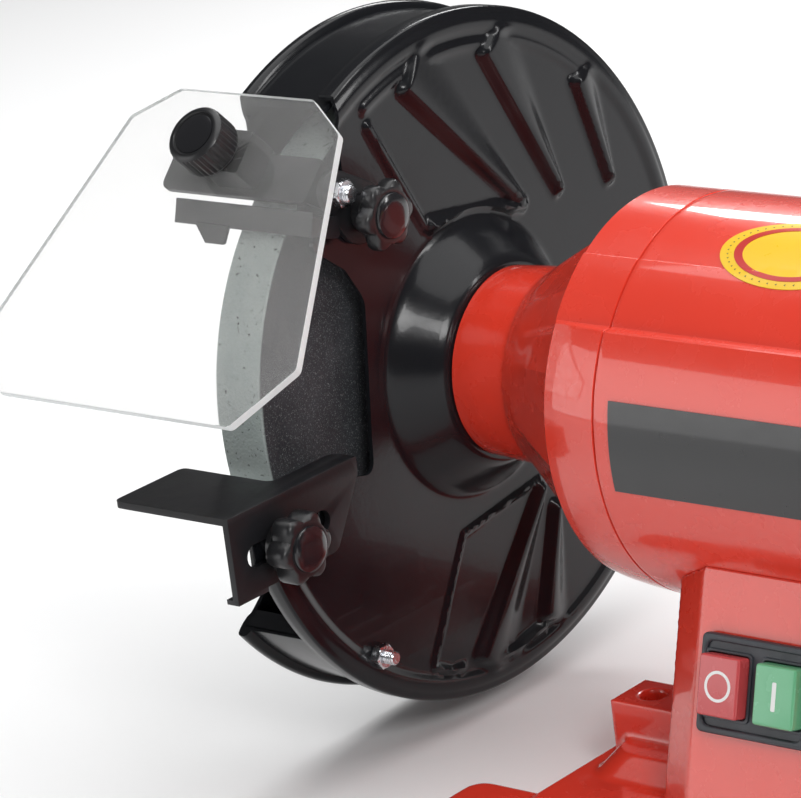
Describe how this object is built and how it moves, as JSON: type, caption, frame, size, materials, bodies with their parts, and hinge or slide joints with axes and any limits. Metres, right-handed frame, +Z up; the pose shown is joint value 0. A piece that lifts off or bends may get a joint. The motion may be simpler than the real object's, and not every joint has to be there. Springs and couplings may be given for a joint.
{
  "type": "bench grinder",
  "caption": "Double-ended bench grinder: barrel-shaped motor on a bolted cast base, guarded abrasive wheels, tool rests, spark arresters, clear eye shields, push buttons.",
  "frame": {"origin": "centre of the bench bolt pattern, on the underside of the base casting", "axes": "+X along the spindle towards the right-hand wheel, +Y to the back of the machine, +Z up"},
  "size_m": [0.5354, 0.2693, 0.2575],
  "materials": {
    "body_paint": "gloss red-orange paint over cast and pressed metal",
    "guard_paint": "gloss black paint over pressed steel",
    "sheet_black": "satin black paint over folded sheet steel",
    "abrasive": "vitrified grey abrasive, fine open grain",
    "blotter": "pressed paper washer",
    "turned_steel": "turned bright steel",
    "zinc": "bright zinc plated",
    "core_steel": "stacked electrical steel",
    "copper": "varnished copper wire",
    "knob_black": "moulded black plastic, semi-gloss",
    "clear_sheet": "clear impact-resistant plastic sheet with bright cut edges",
    "plate_black": "black plate, plain",
    "badge_yellow": "yellow label with a red border, plain",
    "switch_grey": "dark grey moulded plastic",
    "stop_red": "red moulded plastic, white ring",
    "start_green": "green moulded plastic, white bar",
    "rubber_black": "moulded black rubber",
    "white_plastic": "off-white moulded plastic",
    "gland_black": "black nylon"
  },
  "bodies": {
    "frame": {"base_casting": "body_paint", "bottom_plate": "zinc", "bottom_plate_screws": "zinc", "rubber_feet": "rubber_black", "motor_shell": "body_paint", "end_bell_left": "body_paint", "end_bell_right": "body_paint", "tie_bolts": "zinc", "pedestal_screws": "zinc", "stator_core": "core_steel", "stator_windings": "copper", "name_plate": "plate_black", "oval_badge": "badge_yellow", "switch_frame": "switch_grey", "switch_body": "switch_grey", "run_capacitor": "white_plastic", "terminal_block": "white_plastic", "cable_gland": "gland_black", "bearing_outer_rings": "turned_steel", "guard_plate_left": "guard_paint", "guard_plate_right": "guard_paint", "guard_cover_left": "guard_paint", "guard_cover_right": "guard_paint", "cover_screws": "zinc", "guard_screws": "zinc", "rest_bracket_left": "sheet_black", "rest_bracket_right": "sheet_black"},
    "rotor": {"spindle": "turned_steel", "rotor_core": "core_steel", "bearing_inner_rings": "turned_steel", "bearing_balls": "turned_steel", "wheel_flanges": "turned_steel", "wheel_blotters": "blotter", "grinding_wheel_left": "abrasive", "grinding_wheel_right": "abrasive", "spindle_nuts": "turned_steel"},
    "stop_key": {"stop_button": "stop_red"},
    "start_key": {"start_button": "start_green"},
    "rest_left": {"tool_rest_left": "sheet_black"},
    "rest_knob_left": {"rest_knob_left": "knob_black"},
    "arm_left": {"shield_arm_left": "sheet_black", "spark_deflector_left": "sheet_black", "shield_pivot_left": "zinc"},
    "shield_left": {"shield_bar_left": "sheet_black", "eye_shield_left": "clear_sheet"},
    "shield_knob_left": {"shield_knob_left": "knob_black"},
    "arm_knob_left": {"arm_knob_left": "knob_black"},
    "rest_right": {"tool_rest_right": "sheet_black"},
    "rest_knob_right": {"rest_knob_right": "knob_black"},
    "arm_right": {"shield_arm_right": "sheet_black", "spark_deflector_right": "sheet_black", "shield_pivot_right": "zinc"},
    "shield_right": {"shield_bar_right": "sheet_black", "eye_shield_right": "clear_sheet"},
    "shield_knob_right": {"shield_knob_right": "knob_black"},
    "arm_knob_right": {"arm_knob_right": "knob_black"}
  },
  "joints": [
    {"name": "spindle_spin", "type": "hinge", "parent": "frame", "child": "rotor", "pos_m": [0, 0, 0.131], "axis": [1, 0, 0], "continuous": true},
    {"name": "stop_press", "type": "slide", "parent": "frame", "child": "stop_key", "axis": [0, 0.9558, -0.294], "range_m": [0, 0.003], "stiffness_N_per_m": 500},
    {"name": "start_press", "type": "slide", "parent": "frame", "child": "start_key", "axis": [0, 0.9558, -0.294], "range_m": [0, 0.003], "stiffness_N_per_m": 500},
    {"name": "rest_slide_left", "type": "slide", "parent": "frame", "child": "rest_left", "axis": [0, 1, 0], "range_m": [-0.018, 0.0025]},
    {"name": "rest_knob_turn_left", "type": "hinge", "parent": "frame", "child": "rest_knob_left", "pos_m": [-0.163, -0.116, 0.1025], "axis": [1, 0, 0], "continuous": true},
    {"name": "arm_slide_left", "type": "slide", "parent": "frame", "child": "arm_left", "axis": [0, 0.7678, -0.6407], "range_m": [-0.006, 0.001]},
    {"name": "arm_knob_turn_left", "type": "hinge", "parent": "frame", "child": "arm_knob_left", "pos_m": [-0.163, -0.0525, 0.199], "axis": [1, 0, 0], "continuous": true},
    {"name": "shield_tilt_left", "type": "hinge", "parent": "arm_left", "child": "shield_left", "pos_m": [-0.163, -0.0627, 0.2087], "axis": [1, 0, 0], "range_deg": [0, 15]},
    {"name": "shield_knob_turn_left", "type": "hinge", "parent": "shield_left", "child": "shield_knob_left", "pos_m": [-0.197, -0.07896, 0.22354], "axis": [0, -0.7071, 0.7071], "continuous": true},
    {"name": "rest_slide_right", "type": "slide", "parent": "frame", "child": "rest_right", "axis": [0, 1, 0], "range_m": [-0.018, 0.0025]},
    {"name": "rest_knob_turn_right", "type": "hinge", "parent": "frame", "child": "rest_knob_right", "pos_m": [0.163, -0.116, 0.1025], "axis": [1, 0, 0], "continuous": true},
    {"name": "arm_slide_right", "type": "slide", "parent": "frame", "child": "arm_right", "axis": [0, 0.7678, -0.6407], "range_m": [-0.006, 0.001]},
    {"name": "arm_knob_turn_right", "type": "hinge", "parent": "frame", "child": "arm_knob_right", "pos_m": [0.163, -0.0525, 0.199], "axis": [1, 0, 0], "continuous": true},
    {"name": "shield_tilt_right", "type": "hinge", "parent": "arm_right", "child": "shield_right", "pos_m": [0.163, -0.0627, 0.2087], "axis": [1, 0, 0], "range_deg": [0, 15]},
    {"name": "shield_knob_turn_right", "type": "hinge", "parent": "shield_right", "child": "shield_knob_right", "pos_m": [0.197, -0.07896, 0.22354], "axis": [0, -0.7071, 0.7071], "continuous": true}
  ]
}
